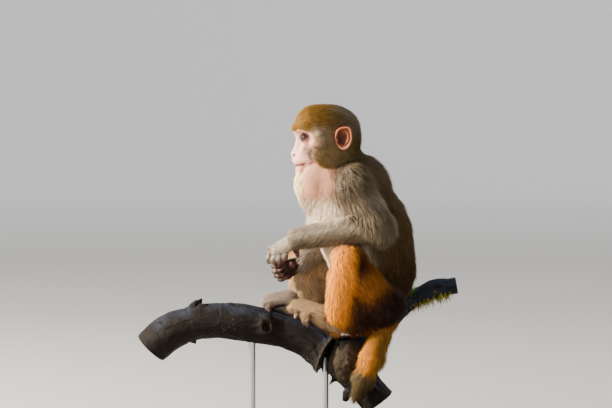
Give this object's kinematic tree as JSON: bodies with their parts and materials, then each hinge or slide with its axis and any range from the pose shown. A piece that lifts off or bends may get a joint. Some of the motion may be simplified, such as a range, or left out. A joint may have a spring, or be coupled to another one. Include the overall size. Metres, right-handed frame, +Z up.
{
  "type": "macaque monkey on a branch",
  "caption": "Young macaque monkey sitting on a forked branch, hands resting over its raised knees, tail hanging, held by steel rods over a flat wooden stand.",
  "frame": {"origin": "middle of the stand base's underside", "axes": "+Z up; the macaque looks along -Y with its head turned a little to its left; +X is towards its left side, and the branch runs along Y"},
  "size_m": [0.2, 0.46, 0.4785],
  "materials": {
    "steel": "brushed",
    "stand_wood": "dark satin",
    "bark": "rough dark bark",
    "eye": "wet, brown iris",
    "ear_skin": "matt bare skin",
    "crown_fur": "golden brown short coat",
    "pale_fur": "cream coat",
    "grey_fur": "grey-brown coat",
    "orange_fur": "orange coat",
    "hand_skin": "matt dark pink skin"
  },
  "bodies": {
    "root": {"stand_rod_front": "steel", "stand_rod_back": "steel", "stand_base": "stand_wood", "perch_limb": "bark", "perch_fork": "bark", "eye_left": "eye", "eye_right": "eye", "ear_left": "ear_skin", "ear_right": "ear_skin", "head": "crown_fur", "neck": "pale_fur", "trunk": "grey_fur", "upper_arm_left": "grey_fur", "upper_arm_right": "grey_fur", "forearm_left": "grey_fur", "forearm_right": "grey_fur", "hand_left": "hand_skin", "hand_right": "hand_skin", "thigh_left": "orange_fur", "thigh_right": "orange_fur", "shin_left": "orange_fur", "shin_right": "pale_fur", "foot_left": "hand_skin", "foot_right": "hand_skin", "tail_base": "orange_fur", "tail_end": "grey_fur"}
  },
  "joints": []
}
